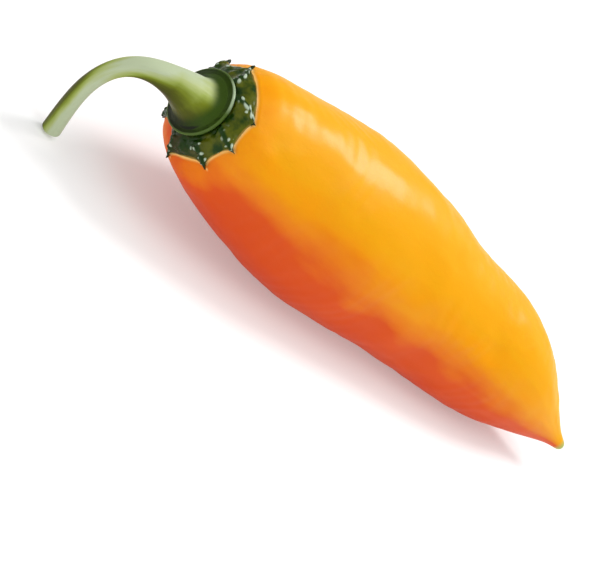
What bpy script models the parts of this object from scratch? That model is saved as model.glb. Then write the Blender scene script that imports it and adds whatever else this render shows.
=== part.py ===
"""Aji amarillo pepper: one whole ripe fruit, as picked, lying on its side.

It is made of three solids. The pod is the orange fruit, a long tapering berry that bows
slightly sideways and has three soft lobes. The calyx is the green cap on its shoulder,
with a toothed margin and, at its centre, the shallow collar that the stem stands in.
The stem leaves the collar with a flared foot and hooks over until its cut end all but
touches the surface beside the pod.

Sizes are in millimetres until a mesh is written. The pepper is modelled in its own
frame: X runs from the collar's rim (0) straight to the tip, Y towards the side that the
pod bows to, and Z completes the frame. An empty turns and lifts it to where it rests.
"""
import math

import bmesh
import bpy
import numpy as np
from mathutils import Vector

MM = 0.001
SEAT_GAP = 0.3              # left between the calyx and the pod it sits on

# Pod: its length, how far its middle line bows, and its outline as (station, radius).
POD_LENGTH = 139.0
POD_BOW_Y = 3.3
POD_BOW_Y_SKEW = -1.0       # moves the fullest part of the bow towards the tip
POD_BOW_Z = -5.0
POD_OUTLINE = [
    (2.4, 0.0), (2.4, 7.0), (3.7, 10.9),                    # shoulder, under the calyx
    (8.0, 14.3), (22.0, 16.5), (41.0, 20.2), (62.0, 19.5),  # belly
    (83.0, 16.5), (102.0, 15.2), (117.0, 11.0),             # taper, with a slight waist
    (128.0, 5.6), (135.0, 1.9), (138.8, 1.3), (POD_LENGTH, 0.0),    # small blunt tip
]
LOBE_COUNT = 3
LOBE_SHARE = 0.028          # how far a lobe stands out, as a share of the radius
LOBE_TURN = math.radians(33.0)

# Two soft forms on one flank only: a hollow past the belly and a swelling before the tip,
# each as (station, reach along the pod, height).
FLANK_TURN = math.radians(15.0)
FLANK_FORMS = [(86.0, 17.0, -0.8), (109.0, 14.0, 0.8)]

# A long furrow beneath, between two lobes. The pod rests astride it, so it doesn't roll.
FURROW_TURN = math.radians(204.0)
FURROW_REACH = math.radians(17.0)
FURROW_DEPTH = 1.4
FURROW_MIDDLE = 57.0
FURROW_LENGTH = 42.0

# Calyx: the collar's outline as (station, radius), measured from the collar's rim plane,
# then the cap's, as (share of the way from collar to margin, height above the pod).
COLLAR_SHIFT_Y = 0.7        # the collar stands a little off the pod's middle
COLLAR_TILT_Y = math.radians(-4.0)
COLLAR_TILT_Z = math.radians(-3.5)
COLLAR_OUTLINE = [
    (0.35, 0.0), (0.35, 2.6), (0.35, 5.2), (0.35, 6.4),     # floor that the stem stands on
    (-0.2, 6.9), (-0.1, 7.6), (0.9, 7.2), (1.5, 6.5),       # thin rim and its undercut
]
CAP_TOP = [(0.06, 1.35), (0.3, 1.3), (0.6, 1.15), (0.85, 1.0), (1.0, 0.95)]
CAP_UNDERSIDE = [(1.03, 0.6), (0.95, 0.4), (0.8, 0.4), (0.5, 0.4), (0.2, 0.4)]
CAP_INNER_RADIUS = 6.6
MARGIN_RADIUS = 12.1        # radius of the pod's shoulder that the teeth reach down to
# Teeth as (degrees around the pod, tip's reach, margin's reach in the gap that follows). A
# reach is a share of the way from the collar to the margin's radius.
TEETH = [
    (-2.5, 1.0, 0.755), (70.0, 0.91, 0.725), (102.5, 0.94, 0.66), (135.0, 0.93, 0.565),
    (187.5, 0.9, 0.2), (237.5, 0.93, 0.65), (285.0, 0.95, 0.7), (325.0, 1.05, 0.755),
]

# Stem: middle line and radius as (x, y, z, radius), from the foot to the cut end.
STEM_ROUTE = [
    (-0.1, 0.1, -0.2, 5.2), (-4.6, 0.2, 0.7, 4.15), (-9.3, -0.2, 0.5, 2.95),
    (-14.5, -1.6, -0.8, 2.2), (-18.1, -5.3, -3.3, 1.8), (-18.6, -12.5, -6.8, 1.8),
    (-14.0, -22.7, -11.1, 2.05),
]
STEM_END_ROUNDING = 0.7

# How it rests: turned about its length, then dipped towards the tip.
REST_ROLL = math.radians(63.2)
REST_DIP = math.radians(6.9)

# Mesh fineness.
POD_COLUMNS, POD_RINGS = 48, 40
CALYX_COLUMNS, CALYX_RINGS = 144, 32
STEM_STATIONS = 24
STEM_BEVEL_RESOLUTION = 6


def curve_weights(count, shares):
    """Weights of a smooth curve's control points, one row for each share of its length.

    The curve is a uniform cubic B-spline. A mirrored phantom point beyond each end makes
    it start and finish on its first and last control points.
    """
    place = np.clip(np.asarray(shares, float), 0.0, 1.0) * (count - 1)
    span = np.minimum(place.astype(int), count - 2)
    f = place - span
    basis = [(1 - f) ** 3, 3 * f ** 3 - 6 * f ** 2 + 4, -3 * f ** 3 + 3 * f ** 2 + 3 * f + 1, f ** 3]
    padded = np.zeros((len(f), count + 2))
    for step, value in enumerate(basis):
        padded[np.arange(len(f)), span + step] = value / 6
    weights = padded[:, 1:-1]
    weights[:, 0] += 2 * padded[:, 0]
    weights[:, 1] -= padded[:, 0]
    weights[:, -1] += 2 * padded[:, -1]
    weights[:, -2] -= padded[:, -1]
    return weights


def smooth_curve(points, shares):
    """Points of the smooth curve that a list of control points steers."""
    return curve_weights(len(points), shares) @ np.array(points)


def unit(vectors):
    """The vectors at length one."""
    return vectors / np.linalg.norm(vectors, axis=-1, keepdims=True)


def middle_line(station):
    """Centre of the pod's section at a station, then the section's own three axes.

    The line bows in Y as half a sine wave, skewed by a whole one, and in Z as half a sine
    wave. The axes are the line's direction and two directions across it.
    """
    angle = np.pi * np.asarray(station) / POD_LENGTH
    per_mm = np.pi / POD_LENGTH
    centre = np.stack([angle / per_mm,
                       POD_BOW_Y * np.sin(angle) + POD_BOW_Y_SKEW * np.sin(2 * angle),
                       POD_BOW_Z * np.sin(angle)], axis=-1)
    slope_y = per_mm * (POD_BOW_Y * np.cos(angle) + 2 * POD_BOW_Y_SKEW * np.cos(2 * angle))
    slope_z = per_mm * POD_BOW_Z * np.cos(angle)
    along = unit(np.stack([np.ones_like(angle), slope_y, slope_z], axis=-1))
    across = unit(np.array([0.0, 1.0, 0.0]) - along[..., 1:2] * along)
    return centre, along, across, np.cross(along, across)


def pod_point(share, turn):
    """Point of the pod's skin at a share of its outline and a turn around it.

    The lobes are a cosine wave around the pod, which fades out at both ends. The forms
    on the flank are bell curves along the pod, strongest at the flank's turn. The furrow
    is a bell curve around the pod, and fades towards the furrow's ends.
    """
    station, radius = smooth_curve(POD_OUTLINE, share).T
    fade = np.sin(np.pi * station / POD_LENGTH) ** 0.7
    lobes = 1 + LOBE_SHARE * fade * np.cos(LOBE_COUNT * (turn - LOBE_TURN))
    facing = np.clip(np.cos(turn - FLANK_TURN), 0.0, 1.0) ** 1.5
    flank = sum(height * np.exp(-((station - middle) / reach) ** 2)
                for middle, reach, height in FLANK_FORMS)
    away = (turn - FURROW_TURN + np.pi) % (2 * np.pi) - np.pi
    spread = (away / FURROW_REACH) ** 2 + ((station - FURROW_MIDDLE) / FURROW_LENGTH) ** 4
    furrow = FURROW_DEPTH * np.exp(-spread)
    distance = radius * lobes + flank * facing * np.minimum(1.0, radius / 8.0) - furrow
    centre, _, across, upward = middle_line(station)
    outward = np.cos(turn)[:, None] * across + np.sin(turn)[:, None] * upward
    return centre + distance[:, None] * outward


def above_pod(share, turn, height):
    """Point at a height above the pod's skin, measured along the skin's normal."""
    step = 0.001
    around = pod_point(share, turn + step) - pod_point(share, turn - step)
    down = pod_point(share + step, turn) - pod_point(share - step, turn)
    return pod_point(share, turn) + height * unit(np.cross(around, down))


def shoulder_share(radius):
    """Share of the pod's outline at which its shoulder reaches a radius."""
    shares = np.linspace(0.0, 0.4, 200)
    return np.interp(radius, smooth_curve(POD_OUTLINE, shares)[:, 1], shares)


def margin_reach(turn):
    """Share of the way to the margin's radius that the margin reaches at a turn.

    Between two teeth it runs straight from tip to tip, less an arch sqrt(1 - |x|^2.5) that
    draws it back to the gap's reach, where x goes from -1 at one tip to 1 at the next.
    """
    tips, reaches, gap_reaches = np.array(TEETH).T
    tips = np.append(tips, tips[0] + 360.0)
    reaches = np.append(reaches, reaches[0])
    degrees = (np.degrees(turn) - tips[0] + 0.001) % 360.0 + tips[0] - 0.001
    gap = np.clip(np.searchsorted(tips, degrees, side="right") - 1, 0, len(TEETH) - 1)
    across = 2 * (degrees - tips[gap]) / (tips[gap + 1] - tips[gap]) - 1
    straight = np.interp(degrees, tips, reaches)
    arch = np.sqrt(np.clip(1 - np.abs(across) ** 2.5, 0.0, 1.0))
    return straight - (straight - gap_reaches[gap]) * arch


def calyx_point(share, turn):
    """Point of the calyx at a share of its outline, from the collar's floor round to its
    underside.

    At each turn the outline is a smooth curve of control points: the collar's, in its own
    tilted plane, then the cap's, which follow the pod's skin to the margin and back under
    the cap to its middle.
    """
    centre, along, across, upward = middle_line(0.0)
    axis = unit(along + math.tan(COLLAR_TILT_Y) * across + math.tan(COLLAR_TILT_Z) * upward)
    across = unit(across - (across @ axis) * axis)
    outward = np.cos(turn)[:, None] * across + np.sin(turn)[:, None] * np.cross(axis, across)
    middle = centre + COLLAR_SHIFT_Y * across
    controls = [middle + station * axis + radius * outward for station, radius in COLLAR_OUTLINE]
    inner = shoulder_share(CAP_INNER_RADIUS)
    reach = (shoulder_share(MARGIN_RADIUS) - inner) * margin_reach(turn)
    controls += [above_pod(inner + way * reach, turn, height)
                 for way, height in CAP_TOP + CAP_UNDERSIDE]
    middle = smooth_curve(POD_OUTLINE, [0.0])[0, 0] - SEAT_GAP
    middle = centre + middle * along
    controls += [middle + 0.5 * (controls[-1] - middle), np.broadcast_to(middle, outward.shape)]
    return np.einsum("nk,knc->nc", curve_weights(len(controls), share), np.stack(controls))


def reshaped_sphere(name, columns, rings, point):
    """Closed body made from a UV sphere, its vertices moved to point(share, turn).

    share runs from 0 at the lower pole to 1 at the upper one, and turn is the longitude.
    """
    form = bmesh.new()
    bmesh.ops.create_uvsphere(form, u_segments=columns, v_segments=rings, radius=1.0)
    corners = np.array([vertex.co for vertex in form.verts])
    share = np.arccos(np.clip(-corners[:, 2], -1.0, 1.0)) / np.pi
    turn = np.arctan2(corners[:, 1], corners[:, 0])
    for vertex, place in zip(form.verts, point(share, turn) * MM):
        vertex.co = place
    mesh = bpy.data.meshes.new(name)
    form.to_mesh(mesh)
    form.free()
    mesh.shade_smooth()
    return bpy.data.objects.new(name, mesh)


def stem_tube(name):
    """Tapering tube along the stem's route, closed by its foot and a rounded cut end."""
    stations = smooth_curve(STEM_ROUTE, np.linspace(0.0, 1.0, STEM_STATIONS))
    end, radius = stations[-1, :3], stations[-1, 3]
    onward = unit(end - stations[-2, :3])
    rounding = [(*(end + STEM_END_ROUNDING * math.sin(angle) * onward),
                 radius - STEM_END_ROUNDING * (1 - math.cos(angle)))
                for angle in np.radians([30, 60, 90])]
    curve = bpy.data.curves.new(name, "CURVE")
    curve.dimensions = "3D"
    curve.bevel_depth = MM
    curve.bevel_resolution = STEM_BEVEL_RESOLUTION
    curve.use_fill_caps = True
    spline = curve.splines.new("POLY")
    route = [*stations, *rounding]
    spline.points.add(len(route) - 1)
    for point, (x, y, z, width) in zip(spline.points, route):
        point.co = (x * MM, y * MM, z * MM, 1.0)
        point.radius = width
    tube = bpy.data.objects.new(name + "_curve", curve)
    bpy.context.scene.collection.objects.link(tube)
    bpy.context.view_layer.update()
    mesh = bpy.data.meshes.new_from_object(tube.evaluated_get(bpy.context.evaluated_depsgraph_get()))
    bpy.data.objects.remove(tube)
    form = bmesh.new()
    form.from_mesh(mesh)
    bmesh.ops.remove_doubles(form, verts=form.verts, dist=0.01 * MM)
    bmesh.ops.recalc_face_normals(form, faces=form.faces)
    form.to_mesh(mesh)
    form.free()
    mesh.name = name
    mesh.shade_smooth()
    mesh.set_sharp_from_angle(angle=math.radians(50))
    return bpy.data.objects.new(name, mesh)


def finish(name, colour, roughness, coat):
    """Principled material of one piece."""
    material = bpy.data.materials.new(name)
    material.use_nodes = True
    shader = material.node_tree.nodes["Principled BSDF"]
    shader.inputs["Base Color"].default_value = (*colour, 1.0)
    shader.inputs["Roughness"].default_value = roughness
    shader.inputs["Metallic"].default_value = 0.0
    shader.inputs["Coat Weight"].default_value = coat
    material.diffuse_color = (*colour, 1.0)
    return material


def lay_at_rest(rest, parts):
    """Turn the pepper as it lies, and put the bottom centre of its box on the origin."""
    rest.rotation_euler = (REST_ROLL, REST_DIP, 0.0)
    for part in parts:
        part.parent = rest
    bpy.context.view_layer.update()
    corners = [part.matrix_world @ vertex.co for part in parts for vertex in part.data.vertices]
    low = Vector(min(corner[axis] for corner in corners) for axis in range(3))
    high = Vector(max(corner[axis] for corner in corners) for axis in range(3))
    rest.location = (-(low.x + high.x) / 2, -(low.y + high.y) / 2, -low.z)


for leftover in list(bpy.data.objects):
    bpy.data.objects.remove(leftover)

pepper = bpy.data.collections.new("aji_amarillo_pepper")
bpy.context.scene.collection.children.link(pepper)
at_rest = bpy.data.objects.new("pepper_at_rest", None)
pepper.objects.link(at_rest)

pod = reshaped_sphere("pod", POD_COLUMNS, POD_RINGS, pod_point)
pod.data.materials.append(finish("ripe_skin", (0.86, 0.28, 0.015), 0.3, 0.4))
calyx = reshaped_sphere("calyx", CALYX_COLUMNS, CALYX_RINGS, calyx_point)
calyx.data.materials.append(finish("calyx_green", (0.05, 0.11, 0.015), 0.4, 0.2))
stem = stem_tube("stem")
stem.data.materials.append(finish("stem_green", (0.3, 0.42, 0.1), 0.4, 0.1))

solids = [pod, calyx, stem]
for solid in solids:
    pepper.objects.link(solid)
lay_at_rest(at_rest, solids)
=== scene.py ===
"""Looks of a ripe aji amarillo pepper lying on its side: a waxy orange pod, a green toothed
cap and a hooked green stem, on a white light table under soft light."""
import math

import bpy
import numpy as np
from mathutils import Matrix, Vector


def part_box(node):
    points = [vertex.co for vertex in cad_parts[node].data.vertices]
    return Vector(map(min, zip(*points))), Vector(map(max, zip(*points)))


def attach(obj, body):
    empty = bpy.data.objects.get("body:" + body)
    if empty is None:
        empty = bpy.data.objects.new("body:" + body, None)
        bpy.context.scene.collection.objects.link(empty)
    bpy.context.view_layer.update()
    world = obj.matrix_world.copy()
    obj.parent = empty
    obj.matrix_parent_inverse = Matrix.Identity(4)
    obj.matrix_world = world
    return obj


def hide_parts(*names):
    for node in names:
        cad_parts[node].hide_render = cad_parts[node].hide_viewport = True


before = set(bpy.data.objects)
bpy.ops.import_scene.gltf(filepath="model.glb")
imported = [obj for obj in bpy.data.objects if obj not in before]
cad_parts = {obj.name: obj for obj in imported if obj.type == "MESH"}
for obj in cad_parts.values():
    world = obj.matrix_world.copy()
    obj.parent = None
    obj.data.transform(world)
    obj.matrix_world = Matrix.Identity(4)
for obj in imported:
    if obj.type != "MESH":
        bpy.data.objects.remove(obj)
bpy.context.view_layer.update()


# ---- Pod -------------------------------------------------------------------------------
# The fruit itself, a hollow berry with thin crisp walls and a smooth waxy skin. It is one
# long tapering form with three soft lobes, bowed a little sideways, golden on one flank and
# redder on the other, partly from uneven ripening and partly as painted shade and painted
# red reflected light. It lies astride a furrow in its belly.
#
# Its own frame, in millimetres, is X from the collar's rim to the tip, Y towards the side
# that it bows to, and Z to finish. It is rolled about its length, then dipped to the tip.
ROLL = math.radians(63.2)
DIP = math.radians(6.9)
LIE = np.array(Matrix.Rotation(DIP, 3, "Y") @ Matrix.Rotation(ROLL, 3, "X"))

POD_LENGTH = 139.0
POD_BOW_Y = 3.3
POD_BOW_Y_SKEW = -1.0
POD_BOW_Z = -5.0
POD_OUTLINE = [
    (2.4, 0.0), (2.4, 7.0), (3.7, 10.9), (8.0, 14.3), (22.0, 16.5), (41.0, 20.2),
    (62.0, 19.5), (83.0, 16.5), (102.0, 15.2), (117.0, 11.0), (128.0, 5.6),
    (135.0, 1.9), (138.8, 1.3), (POD_LENGTH, 0.0),
]
LOBE_SHARE = 0.028
LOBE_TURN = math.radians(33.0)

# One flank has a swell and a waist, and a furrow runs along the belly.
FLANK_TURN = math.radians(15.0)
FLANK_HEIGHT = 0.8
FLANK_SWELL_STATION, FLANK_SWELL_REACH = 109, 14
FLANK_WAIST_STATION, FLANK_WAIST_REACH = 86, 17
FURROW_DEPTH = 1.4
FURROW_TURN = math.radians(204.0)
FURROW_BREADTH = math.radians(17)
FURROW_STATION, FURROW_REACH = 57, 42

# The skin's unevenness fades out over a length that ends this far short of the tip.
TIP_SMOOTH, TIP_FADE = 3, 12
SKIN_RINGS, SKIN_COLUMNS = 381, 240
SKIN_BUMP = 0.00006
LIT_GOLDEN_TURN = math.radians(25.0)
NUB_STATION, NUB_LENGTH = 136.4, 1.6

# Colours of the skin, from the golden flank to the red one, which hold painted shade as well
# as ripeness, the pale line beside the cap, and the bud-green tip.
SKIN_COLOURS = [
    (0.0, (0.82, 0.40, 0.025)), (0.09, (0.82, 0.39, 0.010)), (0.18, (0.83, 0.36, 0.004)),
    (0.29, (0.84, 0.36, 0.002)), (0.41, (0.855, 0.31, 0.0)), (0.54, (0.79, 0.19, 0.0)),
    (0.67, (0.68, 0.075, 0.0)), (1.0, (0.60, 0.045, 0.0)),
]
EDGE_PALE = (0.93, 0.55, 0.16)
TIP_GREEN = (0.42, 0.45, 0.12)

# How ripe the skin is beside the cap, and how strongly and how far it is drawn to that.
CAP_RIPENESS = 0.42
CAP_RIPENESS_PULL = 0.75
CAP_RIPENESS_STATION, CAP_RIPENESS_REACH = 5, 6

# Side of the square table of random values that every unevenness is drawn from.
TABLE_SIZE = 256


def smooth_curve(points, shares):
    """Points of the smooth curve that a list of control points steers.

    The curve is a uniform cubic B-spline, with a mirrored point before each end:
    the weights of four neighbours are (1-f)^3, 3f^3-6f^2+4, -3f^3+3f^2+3f+1 and f^3, over 6.
    """
    points = np.array(points, float)
    place = np.clip(shares, 0, 1) * (len(points) - 1)
    span = np.minimum(place.astype(int), len(points) - 2)
    f = (place - span)[..., None]
    first = 2 * points[:1] - points[1:2]
    last = 2 * points[-1:] - points[-2:-1]
    line = np.concatenate([first, points, last])
    made = line[span] * (1 - f) ** 3 + line[span + 1] * (3 * f**3 - 6 * f**2 + 4)
    made += line[span + 2] * (-3 * f**3 + 3 * f**2 + 3 * f + 1) + line[span + 3] * f**3
    return made / 6


def unit(vectors):
    """The vectors at length one."""
    return vectors / np.linalg.norm(vectors, axis=-1, keepdims=True)


def bell(distance, reach):
    """A bell curve, 1 in the middle and about a third at the reach: exp(-(d/r)^2)."""
    return np.exp(-((distance / reach) ** 2))


def uneven(along, around, seed, cells):
    """Smooth irregular heights between -1 and 1, the same on every run.

    Fixed random values stand at the whole numbers of both coordinates, and the places in
    between blend the four round them by 6f^5 - 15f^4 + 10f^3. The second coordinate closes
    on itself after that many cells.
    """
    values = np.random.default_rng(seed).uniform(-1, 1, (TABLE_SIZE, TABLE_SIZE))
    low_a, low_b = np.floor(along).astype(int), np.floor(around).astype(int)
    fa, fb = along - low_a, around - low_b
    fa = fa**3 * (6 * fa**2 - 15 * fa + 10)
    fb = fb**3 * (6 * fb**2 - 15 * fb + 10)
    near, next_on = [
        values[(low_a + i) % TABLE_SIZE, low_b % cells] * (1 - fb)
        + values[(low_a + i) % TABLE_SIZE, (low_b + 1) % cells] * fb
        for i in (0, 1)
    ]
    return near * (1 - fa) + next_on * fa


def pod_line(station):
    """The pod's middle line: half a sine wave of bow, with a second harmonic that skews it.

    Returns the centre, the line's direction, and those across and upward, square to it.
    """
    angle = np.pi * station / POD_LENGTH
    rate = np.pi / POD_LENGTH
    bow_y = POD_BOW_Y * np.sin(angle) + POD_BOW_Y_SKEW * np.sin(2 * angle)
    centre = np.stack([station, bow_y, POD_BOW_Z * np.sin(angle)], -1)
    slope_y = rate * (POD_BOW_Y * np.cos(angle) + 2 * POD_BOW_Y_SKEW * np.cos(2 * angle))
    slope_z = rate * POD_BOW_Z * np.cos(angle)
    along = unit(np.stack([np.ones_like(angle), slope_y, slope_z], -1))
    across = unit(np.array([0.0, 1.0, 0.0]) - along[..., 1:2] * along)
    return centre, along, across, np.cross(along, across)


def pod_reach(station, radius, turn):
    """How far the skin stands from the middle line.

    The outline's radius is waved by a cosine with three crests, lowered and raised by two
    bell curves on the flank, and lowered by the furrow that the pod lies astride.
    """
    fade = np.sin(np.pi * np.clip(station / POD_LENGTH, 0, 1)) ** 0.7
    lobes = 1 + LOBE_SHARE * fade * np.cos(3 * (turn - LOBE_TURN))
    facing = np.clip(np.cos(turn - FLANK_TURN), 0, 1) ** 1.5 * np.minimum(1, radius / 8)
    swell = bell(station - FLANK_SWELL_STATION, FLANK_SWELL_REACH)
    waist = bell(station - FLANK_WAIST_STATION, FLANK_WAIST_REACH)
    flank = FLANK_HEIGHT * swell - FLANK_HEIGHT * waist
    away = (turn - FURROW_TURN + np.pi) % (2 * np.pi) - np.pi
    from_furrow = (station - FURROW_STATION) / FURROW_REACH
    furrow = FURROW_DEPTH * np.exp(-((away / FURROW_BREADTH) ** 2) - from_furrow**4)
    return radius * lobes + flank * facing - furrow


def pod_point(share, turn, proud=0.0):
    """Point of the skin at a share of the outline and a turn around the pod."""
    station, radius = np.moveaxis(smooth_curve(POD_OUTLINE, share), -1, 0)
    centre, _, across, upward = pod_line(station)
    outward = np.cos(turn)[..., None] * across + np.sin(turn)[..., None] * upward
    return centre + (pod_reach(station, radius, turn) + proud)[..., None] * outward


def skin_uneven(station, turn, length, cells, seed):
    """Unevenness of the skin in cells of that length, so many of them around the pod."""
    return uneven(station / length, cells * (turn / (2 * np.pi)), seed, cells)


def skin_relief(station, turn):
    """Height of the skin's own unevenness.

    It has broad swells 12 mm and 8 mm long, crosswise ripples 4 mm apart that come and go
    in patches, soft dimples 5 mm and 2.5 mm long, and lengthwise lines 2 mm apart.
    """
    drift = skin_uneven(station, turn, 15, 9, 3)
    patch = np.clip(0.45 + skin_uneven(station, turn, 11, 11, 4), 0, 1)
    ripples = 0.05 * patch * np.sin(2 * np.pi * (station / 4.0 + 1.1 * drift))
    swells = 0.30 * skin_uneven(station, turn, 12, 9, 14)
    swells += 0.12 * skin_uneven(station, turn, 8, 17, 15)
    dimples = 0.12 * skin_uneven(station, turn, 5, 25, 5)
    dimples += 0.03 * skin_uneven(station, turn, 2.5, 50, 9)
    lines = 0.02 * skin_uneven(station, turn, 22, 64, 6)
    fade = np.clip((POD_LENGTH - TIP_SMOOTH - station) / TIP_FADE, 0, 1)
    return fade * (swells + ripples + dimples + lines)


def closed_mesh(name, rows, attributes):
    """A mesh of rings of points, closed at both ends by the middle of its end rings.

    The rows are rings x columns x 3, in millimetres in the pod's own frame. Attributes are
    rings x columns, or x 3 for a vector, and are kept on the points by name.
    """
    rings, columns = rows.shape[:2]
    ends = [rows[0].mean(0, keepdims=True), rows[-1].mean(0, keepdims=True)]
    points = np.concatenate([ends[0], rows.reshape(-1, 3), ends[1]]) @ LIE.T * 0.001 + PLACE
    ring = 1 + np.arange(rings - 1)[:, None] * columns
    column = np.arange(columns)[None, :]
    after = (column + 1) % columns
    next_ring = ring + columns
    quads = [ring + column, ring + after, next_ring + after, next_ring + column]
    quads = np.stack(quads, -1).reshape(-1, 4)
    first = np.stack([np.zeros(columns, int), 1 + after[0], 1 + column[0]], -1)
    top = 1 + (rings - 1) * columns
    last = np.stack([top + column[0], top + after[0], np.full(columns, len(points) - 1)], -1)
    corners = np.concatenate([quads.ravel(), first.ravel(), last.ravel()])
    sizes = np.concatenate([np.full(len(quads), 4), np.full(2 * columns, 3)])
    mesh = bpy.data.meshes.new(name)
    mesh.vertices.add(len(points))
    mesh.vertices.foreach_set("co", points.ravel())
    mesh.loops.add(len(corners))
    mesh.loops.foreach_set("vertex_index", corners)
    mesh.polygons.add(len(sizes))
    mesh.polygons.foreach_set("loop_start", np.concatenate([[0], np.cumsum(sizes)[:-1]]))
    mesh.update(calc_edges=True)
    mesh.shade_smooth()
    for label, values in attributes.items():
        values = np.broadcast_to(values, (rings, columns) + values.shape[2:])
        shape = (-1,) + values.shape[2:]
        values = np.concatenate([values[0, :1], values.reshape(shape), values[-1, :1]])
        kind, field = ("FLOAT", "value") if values.ndim == 1 else ("FLOAT_VECTOR", "vector")
        kept = mesh.attributes.new(label, kind, "POINT")
        kept.data.foreach_set(field, values.ravel().astype(np.float32))
    mesh.validate()
    piece = bpy.data.objects.new(name, mesh)
    bpy.context.scene.collection.objects.link(piece)
    return piece


def dressed(piece, name, finish):
    """Gives a piece its material, with those shader values. Returns its tree and shader."""
    made = bpy.data.materials.new(name)
    made.use_nodes = True
    shader = made.node_tree.nodes["Principled BSDF"]
    for socket, value in finish.items():
        shader.inputs[socket].default_value = value
    piece.data.materials.append(made)
    return made.node_tree, shader


def attribute(tree, name, output="Fac"):
    """What a piece keeps on its points under a name, as a socket."""
    made = tree.nodes.new("ShaderNodeAttribute")
    made.attribute_name = name
    return made.outputs[output]


def colour_along(tree, factor, stops):
    """Colours that a factor runs through, in a straight line from each stop to the next."""
    made = tree.nodes.new("ShaderNodeValToRGB")
    for _ in range(len(stops) - 2):
        made.color_ramp.elements.new(0.5)
    for element, (place, colour) in zip(made.color_ramp.elements, stops):
        element.position = place
        element.color = (*colour, 1)
    tree.links.new(factor, made.inputs["Fac"])
    return made.outputs["Color"]


def grain(tree, vector, scale, stretch=(1, 1, 1), detail=2.0):
    """Noise in a piece's own coordinates, drawn out along one of them by the stretch."""
    turned = tree.nodes.new("ShaderNodeMapping")
    turned.inputs["Scale"].default_value = stretch
    tree.links.new(vector, turned.inputs["Vector"])
    made = tree.nodes.new("ShaderNodeTexNoise")
    made.inputs["Scale"].default_value = scale
    made.inputs["Detail"].default_value = detail
    tree.links.new(turned.outputs["Vector"], made.inputs["Vector"])
    return made.outputs["Fac"]


def sum_of(tree, *terms):
    """The sum of sockets, each with the weight that follows it."""
    total = 0.0
    for socket, weight in zip(terms[::2], terms[1::2]):
        step = tree.nodes.new("ShaderNodeMath")
        step.operation = "MULTIPLY_ADD"
        tree.links.new(socket, step.inputs[0])
        step.inputs[1].default_value = weight
        if isinstance(total, float):
            step.inputs[2].default_value = total
        else:
            tree.links.new(total, step.inputs[2])
        total = step.outputs["Value"]
    return total


def blended(tree, factor, under, over):
    """One colour laid over another by a factor. Either is a constant or a socket."""
    made = tree.nodes.new("ShaderNodeMix")
    made.data_type = "RGBA"
    tree.links.new(factor, made.inputs["Factor"])
    for socket, colour in ((made.inputs["A"], under), (made.inputs["B"], over)):
        if isinstance(colour, tuple):
            socket.default_value = (*colour, 1)
        else:
            tree.links.new(colour, socket)
    return made.outputs["Result"]


def stepped(tree, socket, low, high):
    """A smooth step that goes from 0 to 1 while a socket's value goes from low to high."""
    made = tree.nodes.new("ShaderNodeMapRange")
    made.inputs["From Min"].default_value = low
    made.inputs["From Max"].default_value = high
    made.interpolation_type = "SMOOTHSTEP"
    tree.links.new(socket, made.inputs["Value"])
    return made.outputs["Result"]


def raised(tree, height, depth):
    """A bump of that depth in metres where the height is 1."""
    made = tree.nodes.new("ShaderNodeBump")
    made.inputs["Strength"].default_value = 1.0
    made.inputs["Distance"].default_value = depth
    tree.links.new(height, made.inputs["Height"])
    return made.outputs["Normal"]


# The cap's teeth as (degrees around the pod, tip's reach, reach in the gap that follows).
# A reach is a share of the way from the collar to the margin's radius.
TEETH = [
    (-2.5, 1.06, 0.755), (70.0, 0.92, 0.725), (102.5, 0.97, 0.66), (135.0, 0.95, 0.565),
    (187.5, 0.92, 0.2), (237.5, 0.97, 0.65), (285.0, 0.97, 0.7), (325.0, 1.14, 0.755),
]
CAP_INNER_RADIUS = 6.6
MARGIN_RADIUS = 12.1

# Millimetres of skin for each whole share of the outline, on the pod's shoulder.
SKIN_PER_SHARE = 78

sampled = np.linspace(0, 0.4, 801)
shoulder = smooth_curve(POD_OUTLINE, sampled)[:, 1]
INNER_SHARE, MARGIN_SHARE = np.interp([CAP_INNER_RADIUS, MARGIN_RADIUS], shoulder, sampled)


def margin_reach(turn):
    """Share of the way to the margin's radius that the cap's margin reaches at a turn.

    It runs straight from tip to tip, less an arch sqrt(1 - |x|^2.5) that draws it back to
    the gap's reach, where x goes from -1 at one tip to 1 at the next. Returns the reach
    and the distance to the nearest tip in degrees.
    """
    tips, reaches, gap_reaches = np.array(TEETH).T
    tips = np.append(tips, tips[0] + 360)
    reaches = np.append(reaches, reaches[0])
    degrees = (np.degrees(turn) - tips[0] + 0.001) % 360 + tips[0] - 0.001
    gap = np.clip(np.searchsorted(tips, degrees, side="right") - 1, 0, len(TEETH) - 1)
    across = 2 * (degrees - tips[gap]) / (tips[gap + 1] - tips[gap]) - 1
    straight = np.interp(degrees, tips, reaches)
    arch = np.sqrt(np.clip(1 - np.abs(across) ** 2.5, 0, 1))
    nearest = np.minimum(degrees - tips[gap], tips[gap + 1] - degrees)
    return straight - (straight - gap_reaches[gap]) * arch, nearest


share = np.linspace(0.0, 1.0, SKIN_RINGS)[1:-1, None]
turn = np.linspace(0, 2 * np.pi, SKIN_COLUMNS, endpoint=False)[None, :]
share, turn = np.broadcast_arrays(share, turn)

# Where the pod's own frame stands in the pepper's, so that the pod fills its CAD box.
bare_pod = (pod_point(share, turn) @ LIE.T * 0.001).reshape(-1, 3)
PLACE = np.array(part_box("pod")[0]) - bare_pod.min(0)
station, radius = np.moveaxis(smooth_curve(POD_OUTLINE, share), -1, 0)

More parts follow.
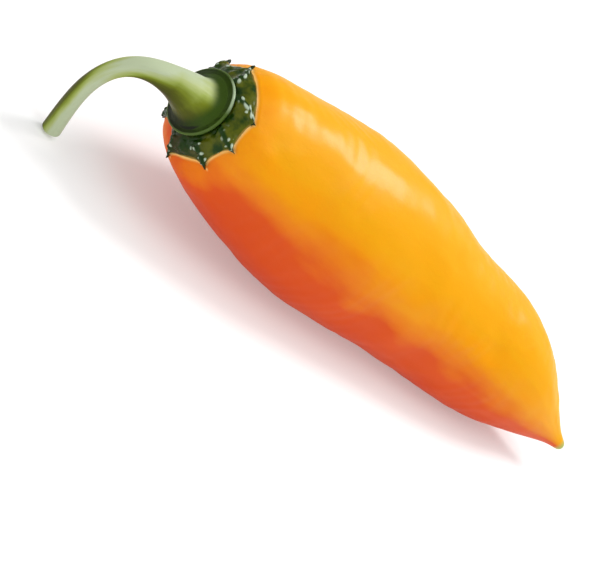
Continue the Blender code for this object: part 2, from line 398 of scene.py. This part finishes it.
# How far the skin lies outside the cap's margin, in millimetres along the shoulder. It
# swells a little just outside, and is pale in a thin line at the margin itself.
margin_share = INNER_SHARE + (MARGIN_SHARE - INNER_SHARE) * margin_reach(turn)[0]
outside = (share - margin_share) * SKIN_PER_SHARE
swollen = 0.11 * bell(outside - 0.9, 0.7) * (outside > 0)
straight = np.stack([station, radius * np.cos(turn), radius * np.sin(turn)], -1) / 10
# Painted shade: ripeness here runs golden towards the lit flank and red towards the shaded one,
# partly uneven ripening, partly painted shade and painted red reflected light.
ripe = 0.5 - 0.5 * np.cos(turn - LIT_GOLDEN_TURN)
beside_cap = bell(station - CAP_RIPENESS_STATION, CAP_RIPENESS_REACH)
ripe += CAP_RIPENESS_PULL * beside_cap * (CAP_RIPENESS - ripe)
patchy = 0.04 * skin_uneven(station, turn, 9, 14, 7)
ripe += patchy + 0.025 * skin_uneven(station, turn, 16, 40, 8)
pod = closed_mesh("pod_skin", pod_point(share, turn, skin_relief(station, turn) + swollen), {
    "straight": straight, "ripe": np.clip(ripe, 0, 1), "edge": bell(outside, 0.32),
    "nub": np.clip((station - NUB_STATION) / NUB_LENGTH, 0, 1),
})
tree, shader = dressed(pod, "waxy_skin", {
    "Roughness": 0.45, "Specular IOR Level": 0.0, "Coat Weight": 0.33, "Coat Roughness": 0.3,
    "Sheen Weight": 0.05, "Sheen Roughness": 0.3, "Subsurface Weight": 0.12,
    "Subsurface Radius": (1.0, 0.35, 0.1), "Subsurface Scale": 0.0015,
})
lengthwise = attribute(tree, "straight", "Vector")
mottling = grain(tree, lengthwise, 3.0, (0.35, 1, 1), 4)
flecks = grain(tree, lengthwise, 34, (0.8, 1, 1), 1)
# Painted shade: the ripeness that picks the skin's colour also carries the painted shade of the
# flanks.
ripeness_and_shade = sum_of(tree, mottling, 0.12, attribute(tree, "ripe"), 1.0, flecks, 0.02)
colour = colour_along(tree, ripeness_and_shade, SKIN_COLOURS)
colour = blended(tree, attribute(tree, "edge"), colour, EDGE_PALE)
colour = blended(tree, attribute(tree, "nub"), colour, TIP_GREEN)
tree.links.new(colour, shader.inputs["Base Color"])
peel = sum_of(tree, grain(tree, lengthwise, 16, (0.6, 1, 1), 2), 1.0, flecks, 0.35)
tree.links.new(raised(tree, peel, SKIN_BUMP), shader.inputs["Normal"])
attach(pod, "root")
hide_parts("pod")


# ---- Calyx ------------------------------------------------------------------------------
# The green cap that the flower left on the pod's shoulder: leathery tissue under a
# millimetre and a half thick, grown onto the skin, with a knobbly vein out to each of its
# pointed teeth. At its middle a smooth shallow dish, the collar, holds the stem's foot.
#
# Its section runs from the dish's middle over the rim, out along the cap's top to the
# margin and back underneath. The collar's points are (station, radius) from its own middle
# line, the cap's are (share of the way to the margin, height above the skin).
COLLAR_OUTLINE = [
    (0.35, 0.0), (0.35, 3.2), (0.35, 5.9), (0.05, 6.7),
    (-0.4, 7.25), (-0.05, 7.7), (0.8, 7.4), (1.5, 6.5),
]
CAP_TOP = [(0.06, 1.35), (0.3, 1.3), (0.6, 1.1), (0.85, 0.75), (0.98, 0.4)]
CAP_UNDERSIDE = [(1.0, 0.2), (0.97, -0.15), (0.8, -0.2), (0.5, 0.2), (0.2, 0.4)]
COLLAR_SHIFT_Y = 0.7
COLLAR_TILT_Y = math.radians(-4.0)
COLLAR_TILT_Z = math.radians(-3.5)
HIDDEN_DEPTH = 0.3
CALYX_RINGS, CALYX_COLUMNS = 220, 440

# Places on the section are counted in control points, up to the last one. First the rings
# that are laid at them, then where each part of the section begins and is complete.
LAST_PLACE = 19
RING_SHARES = [0, 0.1, 0.3, 0.82, 0.92, 1]
RING_PLACES = [0.05, 3, 8, 12.2, 14, 18.95]
RIM_PLACES = (3.7, 4.4)
RIM_OUTSIDE_PLACES = (5.2, 6.0)
CAP_PLACES = (6.0, 7.5)
CREAM_PLACES = (12.6, 12.95)
UNDERSIDE_PLACES = (13.3, 13.7)
CAP_START, CAP_SPAN = 8, 4.4
AWL_START, AWL_SPAN = 11.3, 0.8

# Millimetres of skin for each millimetre of radius, under the cap.
SKIN_SLOPE = 1.25

# A tooth's tip, its hard dark awl, reaches this many degrees to each side, is thinned by
# this share, and has its end lifted off the skin by these heights, above and beneath.
TIP_REACH = 2.2
TIP_THINNING = 0.45
TIP_LIFT_START = 0.8
TIP_LIFT_TOP, TIP_LIFT_UNDERSIDE = 0.7, 0.35

# The beads stand in two rows on each vein, one row half a pitch behind the other.
BEAD_PITCH = 1.45
BEAD_SIZE = 0.5
LEATHER_BUMP = 0.00005

# Colours of the cap. The olive and the brown are its painted lit and shaded sides, the brown
# also its underside; the pale wart and rim colours are painted highlights, and the dish shadow
# is painted shade.
CAP_GREEN = (0.010, 0.036, 0.002)
CAP_OLIVE = (0.085, 0.100, 0.003)
CAP_BROWN = (0.045, 0.036, 0.010)
AWL_DARK = (0.012, 0.030, 0.006)
MARGIN_OLIVE = (0.30, 0.19, 0.03)
MARGIN_CREAM = (0.85, 0.60, 0.25)
DISH_GREEN = (0.034, 0.070, 0.003)
WART_GLINT_PAINT = (0.45, 0.55, 0.42)
DISH_SHADOW = (0.016, 0.022, 0.005)
RIM_GREEN = (0.07, 0.12, 0.02)
RIM_HIGHLIGHT_PAINT = (0.33, 0.42, 0.26)


def above_pod(share, turn, height):
    """Point at a height above the pod's skin, along the skin's own normal."""
    step = 0.001
    down = pod_point(share + step, turn) - pod_point(share - step, turn)
    around = pod_point(share, turn + step) - pod_point(share, turn - step)
    return pod_point(share, turn) + height[..., None] * unit(np.cross(around, down))


def past(tree, places):
    """A step from 0 to 1 between two places on the calyx's section."""
    begins, complete = places
    return stepped(tree, attribute(tree, "way"), begins / LAST_PLACE, complete / LAST_PLACE)


# How many degrees each tooth's vein stands round from its tooth where it leaves the collar.
VEIN_LEANS = [20, -30, -5, 0, 0, 0, 10, -10]

# The columns crowd together towards every tooth's tip, where the margin turns sharply.
tips = np.radians([tooth for tooth, _, _ in TEETH] + [TEETH[0][0] + 360])
even = np.linspace(0, 1, CALYX_COLUMNS // len(TEETH), endpoint=False)
crowded = 0.35 * even + 0.65 * (0.5 - 0.5 * np.cos(np.pi * even))
turn = (tips[:-1, None] + np.diff(tips)[:, None] * crowded).ravel()
reach, from_tip = margin_reach(turn)
tip = bell(from_tip, TIP_REACH)

centre, along, across, upward = pod_line(np.array(0.0))
collar_axis = unit(along + math.tan(COLLAR_TILT_Y) * across + math.tan(COLLAR_TILT_Z) * upward)
collar_across = unit(across - (across @ collar_axis) * collar_axis)
collar_upward = np.cross(collar_axis, collar_across)
outward = np.cos(turn)[:, None] * collar_across + np.sin(turn)[:, None] * collar_upward
collar_middle = centre + COLLAR_SHIFT_Y * collar_across
controls = [collar_middle + s * collar_axis + r * outward for s, r in COLLAR_OUTLINE]
for way, high in CAP_TOP + CAP_UNDERSIDE:
    full_lift = TIP_LIFT_TOP if high > -0.1 else TIP_LIFT_UNDERSIDE
    lift = tip * max(0.0, (way - TIP_LIFT_START) / 0.2) * full_lift
    cap_share = INNER_SHARE + way * reach * (MARGIN_SHARE - INNER_SHARE)
    thin = 1 - TIP_THINNING * tip * way**4
    controls.append(above_pod(cap_share, turn, high * thin + lift))
pod_start = smooth_curve(POD_OUTLINE, np.array([0.0]))[0, 0]
hidden_middle = centre + (pod_start - HIDDEN_DEPTH) * along
controls += [hidden_middle + 0.5 * (controls[-1] - hidden_middle), hidden_middle + 0 * outward]
controls = np.stack(controls)
place = np.interp(np.linspace(0, 1, CALYX_RINGS), RING_SHARES, RING_PLACES)
base = smooth_curve(controls.reshape(len(controls), -1), place / LAST_PLACE)
base = base.reshape(CALYX_RINGS, CALYX_COLUMNS, 3)

# The way out from the collar (0) to the margin (1), and the distance gone in millimetres.
place, turn = np.broadcast_arrays(place[:, None], turn)
out = np.clip((place - CAP_START) / CAP_SPAN, 0, 1)
far = out * reach * (MARGIN_RADIUS - CAP_INNER_RADIUS) * SKIN_SLOPE
on_top = np.clip((place - 7.7) / 0.5, 0, 1) * np.clip((13.0 - place) / 0.7, 0, 1)
around_cap = CAP_INNER_RADIUS + far / SKIN_SLOPE
lap = turn / (2 * np.pi)
vein = np.zeros_like(far)
ribs = np.zeros_like(far)
wart_glints = np.zeros_like(far)
for k, (tooth, _, _) in enumerate(TEETH):
    wander = VEIN_LEANS[k] + 3.0 * np.sin(0.9 * far + 2.1 * k)
    degrees = (np.degrees(turn) - tooth - wander * (1 - out) + 180) % 360 - 180
    side = np.radians(degrees) * around_cap
    rib = bell(side, 0.9 - 0.5 * out)
    phase = 2 * np.pi * far / BEAD_PITCH + 0.6 * np.sin(3.3 * far + k) + 1.7 * k
    spread = 0.68 - 0.36 * out
    beads = bell(side - spread, BEAD_SIZE) * (0.5 + 0.5 * np.cos(phase))
    beads += bell(side + spread, BEAD_SIZE) * (0.5 + 0.5 * np.cos(phase + np.pi))
    beads *= 0.85 + 0.45 * uneven(far / 1.2 + 9 * k, side / 0.8 + 40, 11, TABLE_SIZE)
    vein = np.maximum(vein, rib)
    ribs += (0.4 * rib + 0.55 * beads) * (1 - 0.8 * out**2)
    wart_glints = np.maximum(wart_glints, beads)
lumps = uneven(far / 1.4, 34 * lap, 12, 34) + 0.5 * uneven(far / 0.7, 66 * lap, 13, 66)
wart_glints = np.maximum(wart_glints, np.clip(2.5 * lumps - 2.1, 0, 0.9))
relief = on_top * (ribs * np.clip(1.5 * far, 0, 1) + 0.22 * lumps - 0.15)
normal = unit(np.cross(np.roll(base, -1, 1) - np.roll(base, 1, 1), np.gradient(base, axis=0)))
# The painted-light side is the side facing the light, 45 degrees round, where the painted
# highlights and lighter colours go.
calyx = closed_mesh("calyx_cap", base + relief[..., None] * normal, {
    "vein": vein * on_top, "out": out, "way": place / LAST_PLACE,
    "painted_light_side": 0.5 + 0.5 * np.cos(turn - math.radians(45)),
    "awl": tip * np.clip((place - AWL_START) / AWL_SPAN, 0, 1),
    "wart_glints": wart_glints * on_top * np.clip(far - 0.3, 0, 1),
})
tree, shader = dressed(calyx, "calyx_leather", {"Roughness": 0.25, "Specular IOR Level": 0.15})
place_on_cap = tree.nodes.new("ShaderNodeTexCoord").outputs["Object"]
blotches = grain(tree, place_on_cap, 320, detail=3)
fine = grain(tree, place_on_cap, 1500, detail=3)
painted_light_side = attribute(tree, "painted_light_side")
# Painted shade: the cap is olive on the side facing the light and browner on the shaded side.
olive = blended(tree, stepped(tree, painted_light_side, 0.2, 0.7), CAP_BROWN, CAP_OLIVE)
colour = blended(tree, stepped(tree, blotches, 0.35, 0.62), CAP_GREEN, olive)
colour = blended(tree, stepped(tree, attribute(tree, "vein"), 0.25, 0.9), colour, CAP_GREEN)
# Painted highlight: the tops of the warts, on the side facing the light, are painted pale.
wart_glint_mask = sum_of(tree, attribute(tree, "wart_glints"), 1.0, painted_light_side, 0.4, blotches, 0.5)
colour = blended(tree, stepped(tree, wart_glint_mask, 0.95, 1.45), colour, WART_GLINT_PAINT)
nearing = sum_of(tree, attribute(tree, "out"), 1.0, blotches, 0.2)
colour = blended(tree, stepped(tree, nearing, 0.92, 1.08), colour, MARGIN_OLIVE)
colour = blended(tree, past(tree, CREAM_PLACES), colour, MARGIN_CREAM)
colour = blended(tree, past(tree, UNDERSIDE_PLACES), colour, CAP_BROWN)
colour = blended(tree, stepped(tree, attribute(tree, "awl"), 0.15, 0.6), colour, AWL_DARK)
# Painted shade and painted highlight: the dish is darker on its shaded side, and the rim is
# painted pale where it faces the light.
dish = blended(tree, stepped(tree, painted_light_side, 0.1, 0.8), DISH_SHADOW, DISH_GREEN)
rim = blended(tree, stepped(tree, painted_light_side, 0.9, 1.0), RIM_GREEN, RIM_HIGHLIGHT_PAINT)
dish = blended(tree, past(tree, RIM_PLACES), dish, rim)
dish = blended(tree, past(tree, RIM_OUTSIDE_PLACES), dish, CAP_GREEN)
colour = blended(tree, past(tree, CAP_PLACES), dish, colour)
tree.links.new(colour, shader.inputs["Base Color"])
knobbly = sum_of(tree, fine, 1.0, blotches, 0.8)
tree.links.new(raised(tree, knobbly, LEATHER_BUMP), shader.inputs["Normal"])
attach(calyx, "root")
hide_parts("calyx")


# ---- Stem -------------------------------------------------------------------------------
# The fruit stalk, a firm green stalk that was cut from the plant. It grows out of the
# collar on a flared foot, hooks over, and is faintly angular, with fine lines along it.
#
# Its route is points (x, y, z, radius) in the pod's own frame, from the foot to the cut.
STEM_ROUTE = [
    (-0.1, 0.1, -0.2, 5.2), (-4.6, 0.2, 0.7, 4.15), (-9.3, -0.2, 0.5, 2.95),
    (-14.5, -1.6, -0.8, 2.2), (-18.1, -5.3, -3.3, 1.8), (-18.6, -12.5, -6.8, 1.8),
    (-14.0, -22.7, -11.1, 2.05),
]
STEM_END_ROUNDING = 0.7
STEM_RINGS, STEM_COLUMNS = 420, 120
END_RINGS = 12
STALK_BUMP = 0.00015

# The foot's flare begins this far up the stalk, heads for a corner on the dish's floor, and
# ends against the collar's rim.
FLARE_RISE = 3.4
FLARE_CORNER_STATION = 0.25
FLARE_EDGE_RADIUS = 7.28
FLARE_EDGE_STATION = -0.255
# Painted shade and painted highlight: the stalk's colours run from a dark shaded olive through
# its own green to a pale painted highlight.
STALK_SHADE_TO_HIGHLIGHT_COLOURS = [
    (0.15, (0.050, 0.043, 0.004)), (0.4, (0.056, 0.058, 0.003)), (0.555, (0.08, 0.092, 0.003)),
    (0.68, (0.17, 0.21, 0.012)), (0.78, (0.30, 0.37, 0.075)), (0.88, (0.40, 0.46, 0.18)),
    (1.0, (0.47, 0.54, 0.35)),
]
CREASE_SHADOW = (0.010, 0.014, 0.005)
CREASE_RISE, CREASE_BREADTH = 1.2, 0.5

# Painted light and painted highlight: which way the side painted lit and pale faces at
# shares of the stalk's length, and how much paler the whole stalk is painted there.
PAINTED_LIGHT_WAYS = [
    (0.0, -0.9, 0.45, 0.0, 0.06), (0.12, -0.9, 0.45, 0.0, 0.13), (0.22, -0.8, 0.6, 0.0, 0.03),
    (0.4, -0.33, 0.61, 0.72, 0.0), (0.6, 0.0, 0.4, 0.92, 0.04), (0.8, 0.73, -0.26, 0.63, 0.13),
    (1.0, 0.7, -0.5, 0.4, 0.25),
]
line = smooth_curve(STEM_ROUTE, np.linspace(0, 1, STEM_RINGS - 2 * END_RINGS))
spine, radius = line[:, :3], line[:, 3]
tangent = unit(np.gradient(spine, axis=0))
gone = np.concatenate([[0], np.cumsum(np.linalg.norm(np.diff(spine, axis=0), axis=1))])

# The cut end: rings that round its edge, then rings across its face.
bend = np.linspace(0, np.pi / 2, END_RINGS + 1)[1:, None]
cap_spine = spine[-1] + STEM_END_ROUNDING * np.sin(bend) * tangent[-1]
cap_radius = radius[-1] - STEM_END_ROUNDING * (1 - np.cos(bend[:, 0]))
face_radius = np.linspace(cap_radius[-1], 0.05, END_RINGS + 1)[1:]
spine = np.concatenate([spine, cap_spine, np.repeat(cap_spine[-1:], END_RINGS, 0)])
radius = np.concatenate([radius, cap_radius, face_radius])
tangent = np.concatenate([tangent, np.repeat(tangent[-1:], 2 * END_RINGS, 0)])
gone = np.concatenate([gone, np.full(2 * END_RINGS, gone[-1])])[:, None]

# Each ring's first column stays as near as it can to the ring before, so nothing twists.
side = np.zeros_like(tangent)
side[0] = unit(np.cross(tangent[0], [0.0, 0.0, 1.0]))
for k in range(1, STEM_RINGS):
    side[k] = unit(side[k - 1] - (side[k - 1] @ tangent[k]) * tangent[k])
other = np.cross(tangent, side)
turn = np.linspace(0, 2 * np.pi, STEM_COLUMNS, endpoint=False)[None, :]
lap = turn / (2 * np.pi)
angular = 1 + 0.022 * np.cos(5 * turn + 0.02 * gone) + 0.007 * uneven(gone / 9, 26 * lap, 21, 26)
wide = (radius[:, None] * angular)[..., None]
outward = np.cos(turn)[..., None] * side[:, None] + np.sin(turn)[..., None] * other[:, None]
rows = spine[:, None] + wide * outward

# The foot flares out into the collar's dish. Each column bends by (1-u)^2 A + 2u(1-u) B +
# u^2 C from the stalk's side at A, by the corner B on the dish, to the flare's edge at C.
top = int(np.searchsorted(gone[:, 0], FLARE_RISE))
from_middle = rows[0] - collar_middle
corner = rows[0] - (from_middle @ collar_axis - FLARE_CORNER_STATION)[:, None] * collar_axis
away = unit(corner - collar_middle - FLARE_CORNER_STATION * collar_axis)
edge = collar_middle + FLARE_EDGE_STATION * collar_axis + FLARE_EDGE_RADIUS * away
u = (1 - gone[:top] / gone[top])[..., None]
rows[:top] = (1 - u) ** 2 * rows[top] + 2 * u * (1 - u) * corner + u**2 * edge

fibre = np.stack(np.broadcast_arrays(gone, 2 * np.cos(turn), 2 * np.sin(turn)), -1)

# The painted lit and highlighted side winds round the stalk from its back at the foot to
# its front at the cut.
share_gone = gone / gone[-1]
shares, *ways, paler = np.array(PAINTED_LIGHT_WAYS).T
pale_way = unit(np.concatenate([np.interp(share_gone, shares, way) for way in ways], -1))
painted_light_side = 0.5 + 0.5 * np.sum(outward * pale_way[:, None], -1)
painted_light_side += np.interp(share_gone, shares, paler)

# Painted shade: the foot is painted lighter on the side facing the light, and a painted
# shadow runs in a band part of the way round it.
right = 0.5 + 0.5 * outward @ np.array([0.0, 0.707, 0.707])
crease = bell(gone - CREASE_RISE, CREASE_BREADTH) * bell(right - 0.4, 0.3)
stem = closed_mesh("stem_stalk", rows, {
    "gone": share_gone, "fibre": fibre, "painted_light_side": painted_light_side, "right": right, "crease": crease,
})
tree, shader = dressed(stem, "green_stalk", {"Roughness": 0.4, "Specular IOR Level": 0.12})
fibres = attribute(tree, "fibre", "Vector")
streaks = grain(tree, fibres, 1.6, (0.12, 1, 1), 4)
patches = grain(tree, fibres, 0.35, (0.5, 1, 1), 2)
painted_light_side = attribute(tree, "painted_light_side")
# Painted light: the stalk is painted pale on its lit side and dark olive on its shaded side.
lit_side = sum_of(tree, painted_light_side, 1.0, streaks, 0.16, patches, 0.1)
colour = colour_along(tree, lit_side, STALK_SHADE_TO_HIGHLIGHT_COLOURS)
footing = sum_of(tree, attribute(tree, "gone"), 1.0, streaks, -0.015, painted_light_side, 0.02)
# Painted shade: the foot is darker away from the light, with a painted shadow in a band round
# its lower side.
lit_foot = stepped(tree, attribute(tree, "right"), 0.1, 0.8)
foot_colour = blended(tree, lit_foot, DISH_SHADOW, DISH_GREEN)
crease_shadow_mask = sum_of(tree, attribute(tree, "crease"), 1.0, streaks, 0.6)
foot_colour = blended(tree, stepped(tree, crease_shadow_mask, 0.75, 1.1), foot_colour, CREASE_SHADOW)
colour = blended(tree, stepped(tree, footing, 0.05, 0.09), foot_colour, colour)
tree.links.new(colour, shader.inputs["Base Color"])
fibrous = sum_of(tree, streaks, 1.0, patches, 0.5)
tree.links.new(raised(tree, fibrous, STALK_BUMP), shader.inputs["Normal"])
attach(stem, "root")
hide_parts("stem")


# ---- Floor ------------------------------------------------------------------------------
# A wide matt white light table that the pepper lies on, with a faint glow of its own.
# It reaches four metres each way.
floor_mesh = bpy.data.meshes.new("floor")
floor_mesh.from_pydata([(-4, -4, 0), (4, -4, 0), (4, 4, 0), (-4, 4, 0)], [], [(0, 1, 2, 3)])
floor = bpy.data.objects.new("floor", floor_mesh)
bpy.context.scene.collection.objects.link(floor)
dressed(floor, "light_table", {
    "Base Color": (0.7, 0.7, 0.7, 1), "Emission Color": (1.0, 1.0, 1.0, 1),
    "Emission Strength": 0.3, "Roughness": 0.9, "Specular IOR Level": 0.1,
})


# ---- Light ------------------------------------------------------------------------------
# Three broad soft lights, each as (name, degrees round, degrees up, breadth in degrees,
# strength): a key high behind the pepper, one above, and a wide fill from the near side.
# The room is dim overhead and pale at its foot, so that the floor runs on into it.
LIGHTS = [
    ("key", 26.0, 51.5, 22.0, 1.7),
    ("above", 330.0, 75.0, 65.0, 1.0),
    ("fill", 222.0, 45.0, 130.0, 0.9),
]
ROOM_SHADES = [(0.0, 0.8), (0.52, 0.8), (0.64, 0.35), (1.0, 0.35)]

for name, round_by, up_by, breadth, strength in LIGHTS:
    lamp = bpy.data.lights.new(name, "SUN")
    lamp.energy = strength
    lamp.angle = math.radians(breadth)
    light = bpy.data.objects.new(name, lamp)
    light.rotation_euler = (0, math.radians(90 - up_by), math.radians(round_by))
    bpy.context.scene.collection.objects.link(light)

room = bpy.data.worlds.new("room")
bpy.context.scene.world = room
room.use_nodes = True
tree = room.node_tree
direction = tree.nodes.new("ShaderNodeTexCoord").outputs["Generated"]
height = tree.nodes.new("ShaderNodeSeparateXYZ")
tree.links.new(direction, height.inputs["Vector"])
half = tree.nodes.new("ShaderNodeMath")
half.operation = "MULTIPLY_ADD"
half.inputs[1].default_value = 0.5
half.inputs[2].default_value = 0.5
tree.links.new(height.outputs["Z"], half.inputs[0])
greys = [(place, (grey,) * 3) for place, grey in ROOM_SHADES]
shade = colour_along(tree, half.outputs["Value"], greys)
tree.links.new(shade, tree.nodes["Background"].inputs["Color"])
tree.nodes["Background"].inputs["Strength"].default_value = 1.0


# ---- Camera -----------------------------------------------------------------------------
# It stands 620 mm off and looks down on the pepper, turned so that the pod runs from the
# upper left to the lower right of the picture. The turn and the pitch are those of the
# pod's length in the camera's frame, and the point at the aimed station of the pod's own
# frame stands at the aimed place, in millimetres from the picture's middle.
PICTURE_TURN = math.radians(42.33)
PICTURE_PITCH = math.radians(40.0)
CAMERA_DISTANCE = 620.0
AIMED_STATION = 69.5
AIMED_PLACE = (19.53, 0.22)
pod_x = np.array([
    math.cos(PICTURE_TURN) * math.cos(PICTURE_PITCH),
    -math.sin(PICTURE_TURN) * math.cos(PICTURE_PITCH),
    -math.sin(PICTURE_PITCH),
])
pod_y = np.array([math.sin(PICTURE_TURN), math.cos(PICTURE_TURN), 0.0])
look = np.stack([pod_x, pod_y, np.cross(pod_x, pod_y)], -1)
middle = np.array([*AIMED_PLACE, 0.0]) - look @ np.array([AIMED_STATION, 0.0, 0.0])
stand = LIE @ (look.T @ (np.array([0.0, 0.0, CAMERA_DISTANCE]) - middle)) * 0.001 + PLACE
turned = LIE @ look.T
camera_data = bpy.data.cameras.new("camera")
camera_data.lens = 177.0
camera_data.sensor_width = 36.0
camera = bpy.data.objects.new("camera", camera_data)
camera.matrix_world = Matrix.Translation(stand) @ Matrix(turned.tolist()).to_4x4()
bpy.context.scene.collection.objects.link(camera)
bpy.context.scene.camera = camera
bpy.context.scene.view_settings.view_transform = "Standard"
